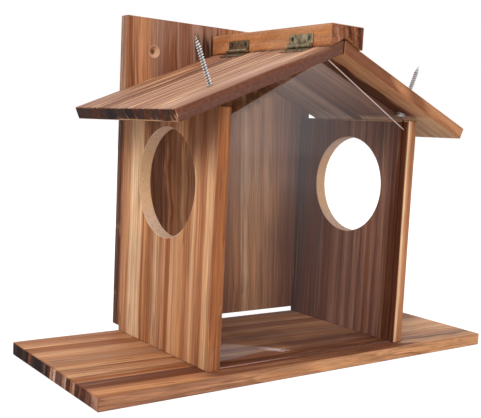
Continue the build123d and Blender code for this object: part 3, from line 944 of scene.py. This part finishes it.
def add_spike(side, materials):
    """A spike along its mount's axis. The mount's place is the middle of the straight thread."""
    mount = mounts[side + "_spike"]
    axis = Vector(mount["axis"])
    thread_middle = SPIKE_THREAD_START + mount["dims"]["length_mm"] / 2
    seat = Vector(mount["pos_m"]) - axis * thread_middle * MM
    bm = spike_bmesh(mount["dims"]["r_mm"])
    add_piece(bm, side + "_threaded_spike", [(seat, axis)], materials, "spike_steel", side + "_spike_screw")


def islands(node):
    """The places of each connected set of points in a node's mesh."""
    bm = bmesh.new()
    bm.from_mesh(nodes[node].data)
    bmesh.ops.remove_doubles(bm, verts=bm.verts, dist=0.01 * MM)
    found = set()
    for start in bm.verts:
        if start in found:
            continue
        found.add(start)
        island = [start]
        for vertex in island:
            for edge in vertex.link_edges:
                other = edge.other_vert(vertex)
                if other not in found:
                    found.add(other)
                    island.append(other)
        yield np.array([vertex.co[:] for vertex in island])
    bm.free()


def measured(points):
    """The screw that a CAD solid's points make. Its head is the end where it is widest."""
    middle = points.mean(axis=0)
    axis = np.linalg.svd(points - middle)[2][0]
    places = (points - middle) @ axis
    spread = np.linalg.norm((points - middle) - np.outer(places, axis), axis=1)
    if spread[places > 0].max() > spread[places < 0].max():
        places = -places
    rim = points[places < places.min() + 0.02 * MM]
    head = Vector(rim.mean(axis=0))
    reach = Vector(points[places.argmax()]) - head
    radius = max((Vector(point) - head).length for point in rim)
    return Screw(head, reach.normalized(), radius / MM, reach.length / MM)


def add_flat_screws(node, shank_radius, head, material, slot):
    """Screws with cross recesses in place of a node's, at their places and in their sizes."""
    screws = sorted((measured(points) for points in islands(node)), key=lambda screw: screw.head[:])
    bm = flat_screw_bmesh(screws[0], shank_radius, head)
    places = [(screw.head, screw.direction) for screw in screws]
    add_piece(bm, node + "_cross_head", places, [material], slot, node)


# ---------- stage, lamps and camera
FLOOR_REACH = 6.0
FLOOR_GAP = 0.2 * MM  # the floor lies this far under the base board
FLOOR_GLOW = 0.74     # close to the object, rising to 1 over the span
FLOOR_GLOW_SPAN = (0.45, 0.9)
FLOOR_MATT = (0.42, 0.42, 0.42, 1.0)  # what takes the object's shadow
FLOOR_UNSEEN = (0.7, 0.7, 0.7, 1.0)   # what lights the object from below
FLOOR_IN_MIRRORS = (0.35, 1.7)        # from near to far over FLOOR_MIRROR_SPAN
FLOOR_MIRROR_SPAN = (0.2, 3.0)

# A small card on the floor in front of the window, seen in its clear sheet, and the bright edge
# it turns up. SIDES and BAND are from, to and a fade; START and REAR are fades, from and to.
# SIDES run along X, START and BAND along Y less X, and REAR along Y with X times REAR_SLOPE.
CARD_SHEET = 1.7
CARD_SHEET_SIDES = (-0.12, -0.004, 0.006)
CARD_SHEET_START = (-0.138, -0.134)
CARD_SHEET_REAR = (-0.125, -0.119)
REAR_SLOPE = 0.235
CARD_EDGE = 5.0
CARD_EDGE_SIDES = (0.0, 0.016, 0.005)
CARD_EDGE_BAND = (-0.135, -0.121, 0.003)

AMBIENT = 0.56
AMBIENT_TINT = (1.0, 0.98, 0.96, 1.0)
MIRRORED_WHITE = 1.0
PANEL_DIRECTION = (0.5, -0.8, 0.25)
PANEL_EDGE = 0.8              # cosine of the panel's half angle
PANEL_STRENGTH = 2.4
SCREEN_DIRECTION = (0.848, -0.53, 0.0)
SCREEN_EDGES = (0.94, 0.982)  # cosines where the dark screen starts and where it is darkest
SCREEN_DARK = 0.15

Lamp = namedtuple("Lamp", "name place target size power")
LAMPS = (
    Lamp("key", (-1.2, -0.95, 1.1), (0, 0, 0.12), 0.9, 20.0),
    Lamp("fill", (1.2, -1.0, 0.7), (0, 0, 0.12), 0.9, 5.5),
    Lamp("top", (0.1, 0.3, 1.6), (0, 0, 0.1), 1.2, 8.0),
)

CAMERA_PLACE = (-0.4343, -0.5622, 0.1910)
CAMERA_TURNS = ((-37.547, "Z"), (83.326, "X"), (2.971, "Z"))   # heading, tilt, roll in degrees
SENSOR_WIDTH = 36
LENS = 60.65
LENS_SHIFT = (-0.0579, 0.0432)


def card(shader, place):
    """How brightly the card and its edge glow at a place on the floor."""
    across, ahead = shader.dot(place, RIGHT), shader.dot(place, REAR)
    sheet = shader.remap(ahead - across, *CARD_SHEET_START)
    sheet *= shader.remap(ahead + across * REAR_SLOPE, *CARD_SHEET_REAR, 1.0, 0.0)
    sheet *= shader.window(across, *CARD_SHEET_SIDES)
    edge = shader.window(ahead - across, *CARD_EDGE_BAND) * shader.window(across, *CARD_EDGE_SIDES)
    return sheet * CARD_SHEET + edge * CARD_EDGE


def floor_material():
    """White to the camera, apart from the object's own soft shadow close to it. Mirrors see it
    dimmer near the object, with the dark screen and the card in it."""
    shader = Shader(bpy.data.materials.new("floor_white"))
    place = shader.node("ShaderNodeTexCoord").outputs["Object"]
    distance = shader.length(place)
    glow = shader.surface("ShaderNodeEmission", {
        "Color": WHITE, "Strength": shader.remap(distance, *FLOOR_GLOW_SPAN, FLOOR_GLOW, 1.0),
    })
    matt = shader.surface("ShaderNodeBsdfDiffuse", {"Color": FLOOR_MATT})
    plain = shader.surface("ShaderNodeBsdfDiffuse", {"Color": FLOOR_UNSEEN})
    heading = shader.node("ShaderNodeVectorMath", {0: place}, operation="NORMALIZE").outputs[0]
    screen = shader.remap(shader.dot(heading, SCREEN_DIRECTION), *SCREEN_EDGES, 1.0, SCREEN_DARK)
    level = shader.remap(distance, *FLOOR_MIRROR_SPAN, *FLOOR_IN_MIRRORS) * screen
    dim = shader.surface("ShaderNodeEmission", {"Color": WHITE, "Strength": level + card(shader, place)})
    seen = shader.mix_surfaces(shader.ray("Glossy"), shader.add_surfaces(glow, matt), dim)
    return shader.finish(shader.seen_or_unseen(seen, plain))


def add_floor():
    mesh = bpy.data.meshes.new("floor")
    corners = [(x * FLOOR_REACH, y * FLOOR_REACH, 0) for x, y in ((-1, -1), (1, -1), (1, 1), (-1, 1))]
    mesh.from_pydata(corners, [], [(0, 1, 2, 3)])
    mesh.materials.append(floor_material())
    floor = bpy.data.objects.new("floor", mesh)
    floor.location.z = cad_box[0][2] - FLOOR_GAP
    scene.collection.objects.link(floor)


def add_world():
    """White behind the object, and in front of it a soft bright panel beside a dark screen, which
    only mirrors show."""
    world = bpy.data.worlds.new("studio")
    scene.world = world
    shader = Shader(world, "ShaderNodeOutputWorld")
    direction = shader.node("ShaderNodeTexCoord").outputs["Generated"]
    panel, screen = [
        shader.remap(shader.dot(direction, Vector(towards).normalized()), *edges, *levels, steps="SMOOTHSTEP")
        for towards, edges, levels in (
            (PANEL_DIRECTION, (PANEL_EDGE, 1.0), (MIRRORED_WHITE, PANEL_STRENGTH)),
            (SCREEN_DIRECTION, SCREEN_EDGES, (1.0, SCREEN_DARK)),
        )
    ]
    white = shader.surface("ShaderNodeBackground", {"Color": WHITE})
    mirrored = shader.surface("ShaderNodeBackground", {"Color": WHITE, "Strength": panel * screen})
    unseen = shader.surface("ShaderNodeBackground", {"Color": AMBIENT_TINT, "Strength": AMBIENT})
    seen = shader.mix_surfaces(shader.ray("Glossy"), white, mirrored)
    shader.finish(shader.seen_or_unseen(seen, unseen))


def add_lamp(lamp):
    data = bpy.data.lights.new(lamp.name, "AREA")
    data.shape = "SQUARE"
    data.size = lamp.size
    data.energy = lamp.power
    light = bpy.data.objects.new(lamp.name, data)
    light.location = lamp.place
    aim = Vector(lamp.target) - Vector(lamp.place)
    light.rotation_euler = aim.to_track_quat("-Z", "Y").to_euler()
    light.visible_glossy = False
    scene.collection.objects.link(light)


def add_camera():
    data = bpy.data.cameras.new("camera")
    data.sensor_fit = "HORIZONTAL"
    data.sensor_width = SENSOR_WIDTH
    data.lens = LENS
    data.shift_x, data.shift_y = LENS_SHIFT
    data.clip_start = 0.01
    camera = bpy.data.objects.new("camera", data)
    place = Matrix.Translation(CAMERA_PLACE)
    for degrees, axis in CAMERA_TURNS:
        place = place @ Matrix.Rotation(math.radians(degrees), 4, axis)
    camera.matrix_world = place
    scene.collection.objects.link(camera)
    scene.camera = camera


# ---------- the whole
dress("base_board", base_wood())
dress("left_wall", left_wall_wood())
dress("right_wall", right_wall_wood())
dress("back_board", back_wood())
dress("left_roof_panel", left_roof_wood())
dress("right_roof_panel", right_roof_wood())
dress("ridge_cap", cap_wood())
dress("acrylic_window", clear_acrylic())

# Each metal's tint, its grime's tint, its roughness, its grime's strength and scale, and for one, how dark
# its painted reflection makes what faces the viewer.
metals = {name: metal(name, *look) for name, *look in (
    ("antique_brass", (174, 158, 128), (58, 50, 38), 0.36, 0.75, 180.0),
    ("dark_screw_steel", (110, 104, 92), (44, 40, 36), 0.35, 0.6, 400.0),
    ("bright_zinc", (236, 236, 240), (150, 150, 156), 0.2, 0.25, 500.0),
    # Painted shade in the left spike's thread grooves.
    ("groove_zinc", (104, 98, 96), (50, 46, 46), 0.4, 0.5, 500.0),
    # The left spike's flanks, with a painted reflection: dark in the middle, bright at the rims.
    ("flank_zinc", (250, 250, 250), (96, 90, 90), 0.22, 0.15, 500.0, 0.75),
    ("dull_zinc", (228, 226, 230), (176, 174, 178), 0.5, 0.3, 500.0),
    # Lighter painted shade in the right spike's thread grooves.
    ("grey_zinc", (196, 194, 198), (150, 148, 152), 0.5, 0.3, 500.0),
    ("yellow_zinc", (196, 178, 128), (120, 104, 70), 0.3, 0.4, 300.0),
)}

for end in ("front", "rear"):
    for part in ("hinge_cap_leaf", "hinge_roof_leaf", "hinge_pin"):
        dress(end + "_" + part, metals["antique_brass"])
    for leaf in ("cap", "roof"):
        add_flat_screws(f"{end}_hinge_{leaf}_screws", *SMALL_SCREW, "dark_screw_steel", "hinge_brass")
add_spike("left", ("bright_zinc", "groove_zinc", "flank_zinc"))
add_spike("right", ("dull_zinc", "grey_zinc", "dull_zinc"))
for node in (
    "left_wall_base_screws", "left_wall_back_screws", "right_wall_base_screws",
    "right_wall_back_screws", "left_roof_back_screws", "ridge_cap_screws",
):
    add_flat_screws(node, *WOOD_SCREW, "yellow_zinc", "screw_steel")

add_floor()
add_world()
for lamp in LAMPS:
    add_lamp(lamp)
add_camera()

bpy.context.scene.view_settings.view_transform = "Standard"
